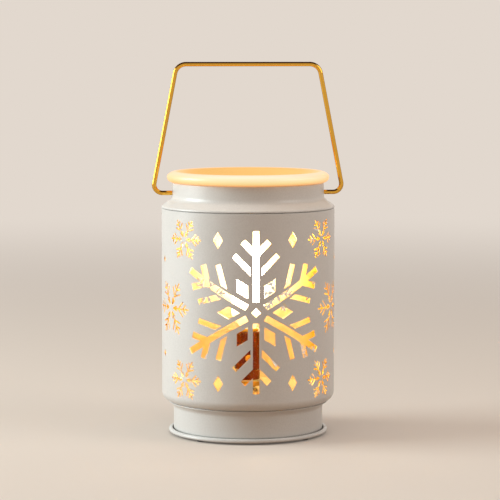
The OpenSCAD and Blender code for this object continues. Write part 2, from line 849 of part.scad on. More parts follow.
// Opal glass dish: a broad domed rim, a sloping bowl and a ring that locates it in the seat
module wax_dish() {
    low = neck_top_z;
    crest_r = dish_crest_d / 2;
    ring_r = seat_r - drop_clear;
    ring_z = low - dish_ring_h;
    under = [dish_d / 2 - dish_under_r, low + dish_under_r];
    shoulder = [dish_d / 2 - dish_shoulder_r, under[1]];
    start = shoulder + dish_shoulder_r * [cos(slant), sin(slant)];
    dome_r = (start[0] - crest_r) / cos(slant);
    dome = start - dome_r * [cos(slant), sin(slant)];
    lip = [crest_r, dome[1] + dome_r - dish_lip_r];
    lip_end = lip + dish_lip_r * [-sin(dish_slope), cos(dish_slope)];
    floor_z = low - dish_sink;
    floor_r = lip_end[0] - (lip_end[1] - floor_z) / tan(dish_slope);
    bottom_z = floor_z - dish_wall;
    outer = lip_end + dish_wall * [sin(dish_slope), -cos(dish_slope)];
    outer_r = outer[0] - (outer[1] - low) / tan(dish_slope);
    bottom_r = outer[0] - (outer[1] - bottom_z) / tan(dish_slope);
    inside = rounded([[lip_end[0], lip_end[1], 0], [floor_r, floor_z, dish_bowl_r], [0, floor_z, 0]]);
    outside = rounded([[0, bottom_z, 0], [bottom_r, bottom_z, dish_bowl_r - dish_wall], [outer_r, low, 0]]);
    ring = [[ring_r - dish_ring_w, low], [ring_r - dish_ring_w, ring_z], [ring_r, ring_z], [ring_r, low]];
    color(opal)
        revolved(concat(
            outside,
            ring,
            arc(under, dish_under_r, -90, 0, 5),
            all_but_first(arc(shoulder, dish_shoulder_r, 0, slant, 4)),
            all_but_first(arc(dome, dome_r, slant, 90, 8)),
            all_but_first(arc(lip, dish_lip_r, 90, 90 + dish_slope, 8)),
            all_but_first(inside)));
}

// Wire bail: its ends turn in through the neck and are upset so that they can't pull out
module bail_handle() {
    end_x = neck_r - sheet_t - drop_clear - upset_t;
    low_x = bail_low_w / 2;
    top_x = bail_top_w / 2;
    color(gold)
        translate([0, 0, pivot_z]) {
            bent_wire([[-end_x, 0], [-low_x, 0], [-top_x, bail_rise], [top_x, bail_rise], [low_x, 0],
                [end_x, 0]], [bail_low_r, bail_top_r, bail_top_r, bail_low_r], wire_r);
            for (side = [-1, 1])
                translate([side * (end_x + upset_t / 2), 0, 0])
                    rotate([0, 90, 0])
                        cylinder(h = upset_t, d = upset_d, center = true);
        }
}

// Dark glass between the bulb's cap and its tip
module bulb_insulator() {
    inner = cap_r - cap_t - 2 * push_clear;
    color("#20242a")
        revolved([[0, insulator_z], [tip_r, insulator_z], [inner, cap_z], [inner, insulator_z + insulator_h],
            [0, insulator_z + insulator_h]]);
}

// Solder tip that meets the centre contact
module bulb_tip() {
    color(steel)
        revolved(rounded([[0, tip_z, 0], [tip_r, tip_z, tip_round], [tip_r, insulator_z, 0],
            [0, insulator_z, 0]]));
}

// Brass cap, flared where it holds the glass
module bulb_cap() {
    top = cap_rim_z + cap_skirt_h;
    color(brass)
        revolved([[cap_r - cap_t, cap_z], [cap_r, cap_z], [cap_r, cap_rim_z], [cap_r + cap_flare, cap_rim_z],
            [cap_r + cap_flare, top], [cap_r - cap_t, top]]);
}

// Tubular glass with a rounded end
module bulb_glass() {
    centre = [0, glass_top_z - bulb_r];
    path = rounded([[neck_glass_r, glass_z, 0], [neck_glass_r, waist_z, waist_round],
        [bulb_r, swell_z, swell_round], [bulb_r, centre[1], 0]]);
    inside = beside(path, glass_t);
    color(clear_glass)
        revolved(concat(path, all_but_first(arc(centre, bulb_r, 0, 90, 12)),
            arc(centre, bulb_r - glass_t, 90, 0, 12),
            [for (i = [len(inside) - 2:-1:0]) inside[i]]));
}

// Glass stem that carries the filament
module bulb_stem() {
    flare_r = neck_glass_r - glass_t - 2 * push_clear;
    color(clear_glass)
        revolved(rounded([[0, stem_z, 0], [flare_r, stem_z, 0], [flare_r, stem_z + stem_edge, 0],
            [stem_r, stem_z + stem_taper, stem_r], [stem_top_r, stem_top_z, stem_round],
            [0, stem_top_z, 0]]));
}

// Wires that hold the ends of the filament
module lead_in_wires() {
    end_z = filament_z - filament_r - filament_gap;
    color(steel)
        for (side = [-1, 1])
            bent_wire([[side * lead_in_x, stem_top_z], [side * lead_in_x, stem_top_z + lead_in_h],
                [side * filament_x, end_z]], [lead_in_bend_r], lead_in_r);
}

// Filament, an arch between the two wires
module filament() {
    color("#ffd9a0")
        bent_wire([[-filament_x, filament_z], [0, filament_z + filament_rise], [filament_x, filament_z]],
            [filament_bend_r], filament_r);
}

base_plate();
feet();
base_shell();
cord_bush();
lamp_shelf();
lead_bush();
holder_bridge();
bridge_screws();
bridge_nuts();
holder_nipple();
nipple_nut();
lamp_holder();
screw_shell();
centre_contact();
terminal_screws();
live_lead();
neutral_lead();
splice_caps();
body_wall();
collar();
wax_dish();
bail_handle();
bulb_insulator();
bulb_tip();
bulb_cap();
bulb_glass();
bulb_stem();
lead_in_wires();
filament();
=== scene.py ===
"""Looks of an electric wax warmer in the form of a lantern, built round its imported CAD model.

Run as a script, it loads the model, gives every piece its finish, builds the pieces whose surface needs
more than the solid holds, and sets a plain stage with the photograph's camera.
"""

import math

import bmesh
import bpy
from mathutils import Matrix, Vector


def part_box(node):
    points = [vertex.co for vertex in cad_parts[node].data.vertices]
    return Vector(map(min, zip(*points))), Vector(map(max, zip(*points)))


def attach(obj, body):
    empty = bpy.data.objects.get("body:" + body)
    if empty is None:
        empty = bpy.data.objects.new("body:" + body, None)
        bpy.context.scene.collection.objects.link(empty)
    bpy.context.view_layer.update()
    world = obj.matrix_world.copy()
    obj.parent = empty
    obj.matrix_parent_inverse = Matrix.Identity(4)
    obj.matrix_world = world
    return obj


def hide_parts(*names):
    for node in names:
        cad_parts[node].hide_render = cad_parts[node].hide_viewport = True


bl_info = {
    "name": "Lantern wax warmer",
    "version": (1, 0, 0),
    "blender": (4, 5, 0),
    "location": "View3D > Sidebar > Warmer",
    "description": "Dresses the packed model of a lantern-shaped wax warmer",
    "category": "Object",
}

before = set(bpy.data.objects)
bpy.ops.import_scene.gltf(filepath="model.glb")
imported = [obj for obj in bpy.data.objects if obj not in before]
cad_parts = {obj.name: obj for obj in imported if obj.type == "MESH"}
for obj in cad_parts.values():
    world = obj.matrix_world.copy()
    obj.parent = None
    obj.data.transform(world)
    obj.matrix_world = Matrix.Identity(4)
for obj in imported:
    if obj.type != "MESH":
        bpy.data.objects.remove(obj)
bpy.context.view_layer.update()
MM = 0.001

# Levels and reaches of the model that the finishes and the added pieces go by.
DISH_TOP_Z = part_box("wax_dish")[1].z
NECK_TOP_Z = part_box("collar")[1].z
WALL_LOW, WALL_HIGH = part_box("body_wall")
HOLDER_TOP_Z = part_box("lamp_holder")[1].z
CAP_LOW, CAP_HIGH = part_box("bulb_cap")
UPSTAND_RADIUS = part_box("base_shell")[1].x

# The studio in metres: the floor's radius, where it fades into the backdrop and the lamps' aim.
# FADE_LEAST is the share of that fade right at the object.
FLOOR_RADIUS = 6.0
FADE_START = 0.12
FADE_END = 1.8
FADE_LEAST = 0.12
AIM = Vector((0, 0, 0.1))


def linear(hex_colour):
    """Linear RGBA of an sRGB hex value."""
    channels = [int(hex_colour[i:i + 2], 16) / 255 for i in (0, 2, 4)]
    return [c / 12.92 if c <= 0.04045 else ((c + 0.055) / 1.055) ** 2.4 for c in channels] + [1.0]


class WarmerSizes(bpy.types.PropertyGroup):
    """Sizes of the pieces that are built here."""

    body_radius: bpy.props.FloatProperty(
        name="Body radius", description="Outside radius of the pierced wall",
        default=WALL_HIGH.x, unit="LENGTH")
    corner_height: bpy.props.FloatProperty(
        name="Corner height", description="Height of the wall's turned-in lower edge",
        default=4.9 * MM, unit="LENGTH")
    hem_step: bpy.props.FloatProperty(
        name="Hem step", description="Height of the stepped-in top of the wall",
        default=1.3 * MM, unit="LENGTH")
    flare_bead: bpy.props.FloatProperty(
        name="Flare bead", description="Thickness of the small rolled bead on the edge of the base's flare",
        default=0.9 * MM, unit="LENGTH")
    flare_bead_drop: bpy.props.FloatProperty(
        name="Flare bead drop", description="From the wall's lower edge down to the middle of that bead",
        default=1.0 * MM, unit="LENGTH")
    thread_pitch: bpy.props.FloatProperty(
        name="Thread pitch", description="Rise of the bulb's thread in one turn",
        default=2.54 * MM, unit="LENGTH")
    thread_depth: bpy.props.FloatProperty(
        name="Thread depth", description="From the thread's crest to its root",
        default=0.3 * MM, unit="LENGTH")
    cap_radius: bpy.props.FloatProperty(
        name="Cap radius", description="Outside radius of the bulb's cap at the thread's crest",
        default=5.9 * MM, unit="LENGTH")
    cap_wall: bpy.props.FloatProperty(
        name="Cap wall", description="From the thread's crest to the inside of the cap",
        default=0.4 * MM, unit="LENGTH")
    cap_skirt: bpy.props.FloatProperty(
        name="Cap skirt", description="Height of the flared skirt of the bulb's cap",
        default=1.3 * MM, unit="LENGTH")
    crest_radius: bpy.props.FloatProperty(
        name="Crest radius", description="Radius of the highest ring of the dish's rim",
        default=46 * MM, unit="LENGTH")


class WarmerColours(bpy.types.PropertyGroup):
    """Colours of the finishes."""

    paint: bpy.props.FloatVectorProperty(
        name="Paint", description="Pearl enamel outside",
        default=linear("E8E7E4"), size=4, subtype="COLOR")
    paint_deep: bpy.props.FloatVectorProperty(
        name="Paint in the deep", description="Pearl enamel between the mica grains",
        default=linear("D5D4D0"), size=4, subtype="COLOR")
    # Painted shade: the dark colour that the enamel takes in its creases, found by ambient occlusion.
    painted_crease_shade: bpy.props.FloatVectorProperty(
        name="Dust", description="Dust in the creases of the enamel",
        default=linear("5C5850"), size=4, subtype="COLOR")
    # Painted light: this paler lacquer goes down the middle of the back, where the lamp's light falls most
    # strongly.
    lacquer: bpy.props.FloatVectorProperty(
        name="Lacquer", description="Gold lacquer in the lamp chamber, thin down the middle of the back",
        default=linear("FDF3D6"), size=4, subtype="COLOR")
    # Painted light: the lacquer away from the lamp's strongest light, round the sides and the front, is
    # kept deeper.
    lacquer_deep: bpy.props.FloatVectorProperty(
        name="Deep lacquer", description="Gold lacquer round the sides and the front, where it is thicker",
        default=linear("FFD450"), size=4, subtype="COLOR")
    gold: bpy.props.FloatVectorProperty(
        name="Gold", description="Gold plating of the bail",
        default=linear("E4AE46"), size=4, subtype="COLOR")
    opal: bpy.props.FloatVectorProperty(
        name="Opal", description="Opal glass of the dish, before the lamp lights it",
        default=linear("8E7A52"), size=4, subtype="COLOR")
    lamp: bpy.props.FloatVectorProperty(
        name="Lamp", description="Light of the bulb",
        default=linear("FFEFD0"), size=4, subtype="COLOR")
    floor: bpy.props.FloatVectorProperty(
        name="Floor", description="Floor and surroundings",
        default=linear("E2D8CE"), size=4, subtype="COLOR")
    floor_return: bpy.props.FloatVectorProperty(
        name="Floor's return", description="Colour of the light that the floor throws back on the object",
        default=linear("A88F7A"), size=4, subtype="COLOR")
    ceiling: bpy.props.FloatVectorProperty(
        name="Ceiling", description="Dark ceiling of the studio, seen in the polished wire",
        default=linear("4A3A2A"), size=4, subtype="COLOR")


class WarmerStage(bpy.types.PropertyGroup):
    """The camera and the light."""

    distance: bpy.props.FloatProperty(
        name="Distance", description="From the camera to the body's axis",
        default=1.4, unit="LENGTH")
    height: bpy.props.FloatProperty(
        name="Height", description="Height of the camera",
        default=0.2486, unit="LENGTH")
    turn: bpy.props.FloatProperty(
        name="Turn", description="Angle of the camera round the body, from the large snowflake",
        default=math.radians(-5.2), subtype="ANGLE")
    pitch: bpy.props.FloatProperty(
        name="Pitch", description="Angle at which the camera looks down",
        default=math.radians(5.39), subtype="ANGLE")
    lens: bpy.props.FloatProperty(
        name="Lens", description="Focal length in millimetres", default=159.4)
    sensor: bpy.props.FloatProperty(
        name="Sensor", description="Width of the camera's sensor in millimetres", default=36.0)
    side_step: bpy.props.FloatProperty(
        name="Side step",
        description="Share of the picture's width by which the axis lies left of its middle",
        default=0.0039)
    key_power: bpy.props.FloatProperty(
        name="Key", description="Power of the soft light on the left", default=26.0, unit="POWER")
    fill_power: bpy.props.FloatProperty(
        name="Fill", description="Power of the weaker light on the right", default=4.2, unit="POWER")
    top_power: bpy.props.FloatProperty(
        name="Top", description="Power of the wide light overhead", default=7.0, unit="POWER")
    sky: bpy.props.FloatProperty(
        name="Sky", description="Strength of the even light from all round", default=0.22)


def add_node(tree, kind, inputs=None, links=None, **settings):
    """Adds one shader node with its settings, its fixed inputs and its links."""
    node = tree.nodes.new(kind)
    for name, value in settings.items():
        setattr(node, name, value)
    for socket, value in (inputs or {}).items():
        node.inputs[socket].default_value = value
    for socket, source in (links or {}).items():
        tree.links.new(source, node.inputs[socket])
    return node


def new_material(name):
    """An empty material and its node tree."""
    material = bpy.data.materials.new(name)
    material.use_nodes = True
    material.node_tree.nodes.clear()
    return material, material.node_tree


def arc(centre, radius, start, end, steps=10):
    """Points on an arc, angles in degrees."""
    turns = [math.radians(start + (end - start) * i / steps) for i in range(steps + 1)]
    return [Vector((centre[0] + radius * math.cos(a), centre[1] + radius * math.sin(a))) for a in turns]


def finished(bm, name, smooth_angle=30):
    """Turns a bmesh into an object with smooth shading between its sharp edges."""
    bmesh.ops.remove_doubles(bm, verts=bm.verts, dist=0.001 * MM)
    bmesh.ops.recalc_face_normals(bm, faces=bm.faces)
    mesh = bpy.data.meshes.new(name)
    bm.to_mesh(mesh)
    bm.free()
    mesh.shade_smooth()
    mesh.set_sharp_from_angle(angle=math.radians(smooth_angle))
    piece = bpy.data.objects.new(name, mesh)
    bpy.context.scene.collection.objects.link(piece)
    return piece


def lathe(name, outline, steps=160):
    """A turned piece from a closed outline of (radius, height) points."""
    bm = bmesh.new()
    ring = [bm.verts.new((p[0], 0, p[1])) for p in outline]
    edges = [bm.edges.new(pair) for pair in zip(ring, ring[1:] + ring[:1])]
    bmesh.ops.spin(bm, geom=ring + edges, cent=(0, 0, 0), axis=(0, 0, 1), angle=math.tau,
                   steps=steps, use_merge=True)
    return finished(bm, name)


def threaded_cap(name, sides=72, rings_a_turn=10):
    """The rolled cap of a bulb: a right-handed thread that fades at both ends, under a flared skirt."""
    sizes = bpy.context.scene.warmer_sizes
    skirt_z = CAP_HIGH.z - sizes.cap_skirt
    threaded = skirt_z - CAP_LOW.z
    steps = round(threaded / sizes.thread_pitch * rings_a_turn)
    inner = sizes.cap_radius - sizes.cap_wall
    # Each ring: its height, its radius and whether the thread is cut into it.
    profile = [(CAP_LOW.z, inner, False)]
    profile += [(CAP_LOW.z + threaded * i / steps, sizes.cap_radius, True) for i in range(steps + 1)]
    profile += [(skirt_z, CAP_HIGH.x, False), (CAP_HIGH.z, CAP_HIGH.x, False), (CAP_HIGH.z, inner, False)]
    bm = bmesh.new()
    rings = []
    for z, radius, cut in profile:
        # The thread takes half a turn to reach its full depth.
        fade = min(z - CAP_LOW.z, skirt_z - z) / (sizes.thread_pitch / 2)
        depth = sizes.thread_depth * max(0, min(1, fade)) if cut else 0
        ring = []
        for k in range(sides):
            turn = math.tau * k / sides
            wave = 0.5 - 0.5 * math.cos(math.tau * z / sizes.thread_pitch - turn)
            reach = radius - depth * wave
            ring.append(bm.verts.new((reach * math.cos(turn), reach * math.sin(turn), z)))
        rings.append(ring)
    for low, high in zip(rings, rings[1:] + rings[:1]):
        for k in range(sides):
            bm.faces.new((low[k - 1], low[k], high[k], high[k - 1]))
    return finished(bm, name, 60)


def dress(material, *nodes):
    """Gives CAD nodes a finish."""
    for name in nodes:
        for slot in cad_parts[name].material_slots:
            slot.material = material


def place(piece, material, body, slot, *nodes):
    """Gives a piece its finish, ties it to its body and lets it stand for its CAD nodes, if it has any."""
    piece.data.materials.append(material)
    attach(piece, body)
    if nodes:
        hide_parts(*nodes)


def axis_radius(tree, position):
    """Distance of a point from the body's axis."""
    flat = add_node(tree, "ShaderNodeVectorMath", operation="MULTIPLY", inputs={1: (1, 1, 0)},
                    links={0: position}).outputs[0]
    return add_node(tree, "ShaderNodeVectorMath", operation="LENGTH", links={0: flat}).outputs["Value"]


def mica_paint(tree, position):
    """Colour of the enamel with its mica grains, and the noise that the grains follow."""
    colours = bpy.context.scene.warmer_colours
    # Mica grains are far below a millimetre; they are drawn at 0.9 mm so that they show.
    mica = add_node(tree, "ShaderNodeTexNoise", inputs={"Scale": 1 / (0.9 * MM), "Detail": 3.0},
                    links={"Vector": position}).outputs["Fac"]
    # The spray lays them on in clouds of about 24 mm.
    cloud = add_node(tree, "ShaderNodeTexNoise", inputs={"Scale": 1 / (24 * MM), "Detail": 2.0},
                     links={"Vector": position}).outputs["Fac"]
    grain = add_node(tree, "ShaderNodeMapRange", links={"Value": mica},
                     inputs={"From Min": 0.35, "From Max": 0.65, "To Max": 0.55}).outputs["Result"]
    share = add_node(tree, "ShaderNodeMath", operation="MULTIPLY", links={0: grain, 1: cloud}).outputs[0]
    paint = add_node(tree, "ShaderNodeMix", data_type="RGBA", links={0: share},
                     inputs={6: colours.paint, 7: colours.paint_deep}).outputs[2]
    return paint, mica


def with_painted_crease_shade(tree, paint, height):
    """The paint darkened by painted shade in its creases: at the hem, under the wall's edge and behind the
    bead.
    """
    colours = bpy.context.scene.warmer_colours
    # Painted shade: ambient occlusion finds the creases, and the paint is darkened there.
    crease = add_node(tree, "ShaderNodeAmbientOcclusion", samples=8,
                      inputs={"Distance": 2.2 * MM}).outputs["AO"]
    painted_crease_shade = add_node(tree, "ShaderNodeMapRange", links={"Value": crease},
                    inputs={"From Min": 0.3, "From Max": 0.68,
                            "To Min": 1.0, "To Max": 0.0}).outputs["Result"]
    # The painted crease shade is left off the top of the neck, under the dish's rim.
    below_neck = add_node(tree, "ShaderNodeMapRange", links={"Value": height},
                          inputs={"From Min": NECK_TOP_Z - 6 * MM, "From Max": NECK_TOP_Z - 3 * MM,
                                  "To Min": 1.0, "To Max": 0.0}).outputs["Result"]
    crease_shade_share = add_node(tree, "ShaderNodeMath", operation="MULTIPLY",
                       links={0: painted_crease_shade, 1: below_neck}).outputs[0]
    return add_node(tree, "ShaderNodeMix", data_type="RGBA", inputs={7: colours.painted_crease_shade},
                    links={0: crease_shade_share, 6: paint}).outputs[2]


def lacquered_side(tree, position, height):
    """1 on the inner side of the wall's straight part, which is lacquered, and 0 elsewhere."""
    sizes = bpy.context.scene.warmer_sizes
    # The enamel laps a tenth of a millimetre into each cut.
    inside = add_node(tree, "ShaderNodeMapRange", links={"Value": axis_radius(tree, position)},
                      inputs={"From Min": sizes.body_radius - 0.05 * MM,
                              "From Max": sizes.body_radius - 0.12 * MM}).outputs["Result"]
    low = WALL_LOW.z + sizes.corner_height
    high = WALL_HIGH.z - sizes.hem_step
    straight = add_node(tree, "ShaderNodeMath", operation="COMPARE", links={0: height},
                        inputs={1: (low + high) / 2, 2: (high - low) / 2}).outputs[0]
    return add_node(tree, "ShaderNodeMath", operation="MULTIPLY", links={0: inside, 1: straight}).outputs[0]


def lacquer_with_painted_light(tree, depth):
    """Colour of the lacquer, painted pale down the middle of the back, where the lamp lights it most, and
    deeper round the sides: painted light.
    """
    colours = bpy.context.scene.warmer_colours
    # Painted light: the lacquer turns pale towards the back, where the lamp lights it most.
    painted_light = add_node(tree, "ShaderNodeMapRange", links={"Value": depth},
                    inputs={"From Min": 30 * MM, "From Max": 42 * MM}).outputs["Result"]
    return add_node(tree, "ShaderNodeMix", data_type="RGBA", links={0: painted_light},
                    inputs={6: colours.lacquer_deep, 7: colours.lacquer}).outputs[2]


def pearl_enamel(name, lacquered=False):
    """Stoved enamel with mica on pressed tinplate: satin, with a fine pearl grain and a slight orange peel.

    The pierced wall is lacquered gold on its inner side, which makes a warm, soft mirror round the lamp.
    """
    material, tree = new_material(name)
    position = add_node(tree, "ShaderNodeTexCoord").outputs["Object"]
    axes = add_node(tree, "ShaderNodeSeparateXYZ", links={0: position}).outputs
    paint, mica = mica_paint(tree, position)
    # The paint takes painted shade in its creases.
    colour = with_painted_crease_shade(tree, paint, axes["Z"])
    satin = add_node(tree, "ShaderNodeMapRange", links={"Value": mica},
                     inputs={"To Min": 0.27, "To Max": 0.43}).outputs["Result"]
    peel = add_node(tree, "ShaderNodeTexNoise", inputs={"Scale": 1 / (3.5 * MM), "Detail": 1.0},
                    links={"Vector": position}).outputs["Fac"]
    relief = add_node(tree, "ShaderNodeBump", inputs={"Strength": 0.25, "Distance": 0.02 * MM},
                      links={"Height": peel}).outputs["Normal"]
    surface = {"Base Color": colour, "Roughness": satin, "Normal": relief}
    if lacquered:
        side = lacquered_side(tree, position, axes["Z"])
        surface["Base Color"] = add_node(tree, "ShaderNodeMix", data_type="RGBA",
                                         links={0: side, 6: colour,
                                                7: lacquer_with_painted_light(tree, axes["Y"])}).outputs[2]
        surface["Metallic"] = add_node(tree, "ShaderNodeMath", operation="MULTIPLY", inputs={1: 0.85},
                                       links={0: side}).outputs[0]
    shader = add_node(tree, "ShaderNodeBsdfPrincipled", links=surface,
                      inputs={"Coat Weight": 0.35, "Coat Roughness": 0.26})
    add_node(tree, "ShaderNodeOutputMaterial", links={"Surface": shader.outputs[0]})
    return material


def polished_gold():
    """Gold-plated steel wire, polished: bright, darker at its edges, with a slightly uneven gloss."""
    colours = bpy.context.scene.warmer_colours
    material, tree = new_material("polished_gold_plate")
    position = add_node(tree, "ShaderNodeTexCoord").outputs["Object"]
    # Polishing marks of about a quarter of a millimetre.
    marks = add_node(tree, "ShaderNodeTexNoise", inputs={"Scale": 1 / (0.25 * MM), "Detail": 1.0},
                     links={"Vector": position}).outputs["Fac"]
    gloss = add_node(tree, "ShaderNodeMapRange", links={"Value": marks},
                     inputs={"To Min": 0.09, "To Max": 0.13}).outputs["Result"]
    shader = add_node(tree, "ShaderNodeBsdfPrincipled", links={"Roughness": gloss},
                      inputs={"Base Color": colours.gold, "Metallic": 1.0,
                              "Specular Tint": linear("5A4A1C")})
    add_node(tree, "ShaderNodeOutputMaterial", links={"Surface": shader.outputs[0]})
    return material


def opal_glass():
    """Pressed opal glass, fire-polished, with the lamp's light from below painted on as a glow: white at
    the crest, amber where it is thick.
    """
    colours = bpy.context.scene.warmer_colours
    sizes = bpy.context.scene.warmer_sizes
    material, tree = new_material("lit_opal_glass")
    position = add_node(tree, "ShaderNodeTexCoord").outputs["Object"]
    height = add_node(tree, "ShaderNodeSeparateXYZ", links={0: position}).outputs["Z"]
    radius = axis_radius(tree, position)
    # Painted glow on the outside of the rim, from the seat on the neck up to the crest.
    rise = add_node(tree, "ShaderNodeMapRange", links={"Value": height},
                    inputs={"From Min": NECK_TOP_Z, "From Max": DISH_TOP_Z}).outputs["Result"]
    rim = add_node(tree, "ShaderNodeValToRGB", links={"Fac": rise})
    rim.color_ramp.elements[0].color = linear("F0A468")
    rim.color_ramp.elements[1].color = linear("FDFBF0")
    for stop, shade in ((0.16, "F9D086"), (0.36, "FCE6AA"), (0.7, "FCF0CC")):
        rim.color_ramp.elements.new(stop).color = linear(shade)
    # Painted light: the bowl's glow is brightest in its middle, right over the lamp.
    over_lamp = add_node(tree, "ShaderNodeMapRange", interpolation_type="SMOOTHSTEP",
                         links={"Value": radius},
                         inputs={"From Min": 0.8 * sizes.crest_radius,
                                 "From Max": 0.1 * sizes.crest_radius}).outputs["Result"]
    bowl = add_node(tree, "ShaderNodeMix", data_type="RGBA", links={0: over_lamp},
                    inputs={6: linear("F2BA6A"), 7: linear("FFE6B4")}).outputs[2]
    within = add_node(tree, "ShaderNodeMapRange", links={"Value": radius},
                      inputs={"From Min": sizes.crest_radius + 0.6 * MM,
                              "From Max": sizes.crest_radius - 2 * MM}).outputs["Result"]
    glow = add_node(tree, "ShaderNodeMix", data_type="RGBA",
                    links={0: within, 6: rim.outputs["Color"], 7: bowl}).outputs[2]
    # Painted light: seen edge on, the glow turns amber, as the light comes through more glass.
    facing = add_node(tree, "ShaderNodeLayerWeight", inputs={"Blend": 0.5}).outputs["Facing"]
    edge_on = add_node(tree, "ShaderNodeMapRange", links={"Value": facing},
                       inputs={"From Min": 0.4, "From Max": 0.95, "To Max": 0.72}).outputs["Result"]
    deepened = add_node(tree, "ShaderNodeMix", data_type="RGBA", inputs={7: linear("F2A85C")},
                        links={0: edge_on, 6: glow}).outputs[2]
    shader = add_node(tree, "ShaderNodeBsdfPrincipled", links={"Emission Color": deepened},
                      inputs={"Base Color": colours.opal, "Roughness": 0.3, "Emission Strength": 0.85})
    add_node(tree, "ShaderNodeOutputMaterial", links={"Surface": shader.outputs[0]})
    return material


def lit_lamp_glass():
    """Blown lamp glass round a burning filament: too bright to see through, warm white."""
    colours = bpy.context.scene.warmer_colours
    material, tree = new_material("lit_lamp_glass")
    position = add_node(tree, "ShaderNodeTexCoord").outputs["Object"]
    height = add_node(tree, "ShaderNodeSeparateXYZ", links={0: position}).outputs["Z"]
    # The neck lies below the filament, so it is dimmer and warmer than the body of the bulb.
    rise = add_node(tree, "ShaderNodeMapRange", interpolation_type="SMOOTHSTEP", links={"Value": height},
                    inputs={"From Min": HOLDER_TOP_Z + 8 * MM,
                            "From Max": HOLDER_TOP_Z + 22 * MM}).outputs["Result"]
    light = add_node(tree, "ShaderNodeMix", data_type="RGBA", links={0: rise},
                     inputs={6: linear("FFDC98"), 7: colours.lamp}).outputs[2]
    burn = add_node(tree, "ShaderNodeMapRange", links={"Value": rise},
                    inputs={"To Min": 1.5, "To Max": 20.0}).outputs["Result"]
    shader = add_node(tree, "ShaderNodeBsdfPrincipled",
                      links={"Emission Color": light, "Emission Strength": burn},
                      inputs={"Base Color": linear("F4EFE4"), "Roughness": 0.08})
    add_node(tree, "ShaderNodeOutputMaterial", links={"Surface": shader.outputs[0]})
    return material


def plain_finish(name, shade, deep, roughness, grain, metallic=0.0, spread=0.08):
    """A finish with a fine grain: two shades of one colour and a roughness that follows them."""
    material, tree = new_material(name)
    position = add_node(tree, "ShaderNodeTexCoord").outputs["Object"]
    noise = add_node(tree, "ShaderNodeTexNoise", inputs={"Scale": 1 / grain, "Detail": 3.0},
                     links={"Vector": position}).outputs["Fac"]
    colour = add_node(tree, "ShaderNodeMix", data_type="RGBA", inputs={6: linear(shade), 7: linear(deep)},
                      links={0: noise}).outputs[2]
    rough = add_node(tree, "ShaderNodeMapRange", links={"Value": noise},
                     inputs={"To Min": roughness - spread, "To Max": roughness + spread}).outputs["Result"]
    relief = add_node(tree, "ShaderNodeBump", inputs={"Strength": 0.2, "Distance": 0.02 * MM},
                      links={"Height": noise}).outputs["Normal"]
    shader = add_node(tree, "ShaderNodeBsdfPrincipled", inputs={"Metallic": metallic},
                      links={"Base Color": colour, "Roughness": rough, "Normal": relief})
    add_node(tree, "ShaderNodeOutputMaterial", links={"Surface": shader.outputs[0]})
    return material


def bright_tinplate():
    """Tinplate, rolled bright: a pale, soft sheen that throws the lamp's light back up."""
    return plain_finish("bright_tinplate", "F2EAD2", "E6DCC0", 0.35, 1.5 * MM, 0.3)


def drawn_brass():
    """Brass sheet and bar, drawn and turned: a warm yellow metal with fine scratches."""
    made = bpy.data.materials.get("drawn_brass")
    return made or plain_finish("drawn_brass", "DDB95E", "C9A348", 0.36, 0.8 * MM, 0.9)


def zinc_plate():
    """Zinc-plated steel, passivated: a pale grey metal, half dull, with a fine spangle."""
    return plain_finish("zinc_plated_steel", "DADCD8", "C8CAC4", 0.4, 0.7 * MM, 0.5)


def tin_solder():
    """Tin solder, set in air: a soft grey metal with a slight frost."""
    return plain_finish("tin_solder", "B4B6B5", "9A9C9B", 0.35, 0.6 * MM, 1.0)


def black_glass():
    """Black glass, fused into the foot of the bulb's cap: dark and glossy."""
    return plain_finish("black_glass", "191C20", "0F1114", 0.2, 1 * MM)


def brown_phenolic():
    """Phenolic, moulded in a polished die: deep brown and glossy, with faint flow marks."""
    return plain_finish("brown_phenolic", "702404", "541802", 0.26, 1.2 * MM)


def black_rubber():
    """Moulded rubber: near black and dull, with a fine bloom."""
    return plain_finish("black_rubber", "2A2A2A", "1D1D1D", 0.75, 0.5 * MM)


def white_nylon():
    """Moulded nylon: off-white and slightly waxy."""
    return plain_finish("white_nylon", "D9D5C9", "C8C3B5", 0.45, 0.6 * MM)


def wire_sheath(name, shade, deep):
    """PVC, extruded round a lead: one even colour with a soft sheen."""
    return plain_finish(name, shade, deep, 0.5, 0.6 * MM)


def eye_rays(tree):
    """1 for the rays by which the eye sees the studio: straight, in a polished surface or through glass."""
    rays = add_node(tree, "ShaderNodeLightPath").outputs
    seen = add_node(tree, "ShaderNodeMath", operation="MAXIMUM",
                    links={0: rays["Is Camera Ray"], 1: rays["Is Glossy Ray"]}).outputs[0]
    return add_node(tree, "ShaderNodeMath", operation="MAXIMUM",
                    links={0: seen, 1: rays["Is Transmission Ray"]}).outputs[0]


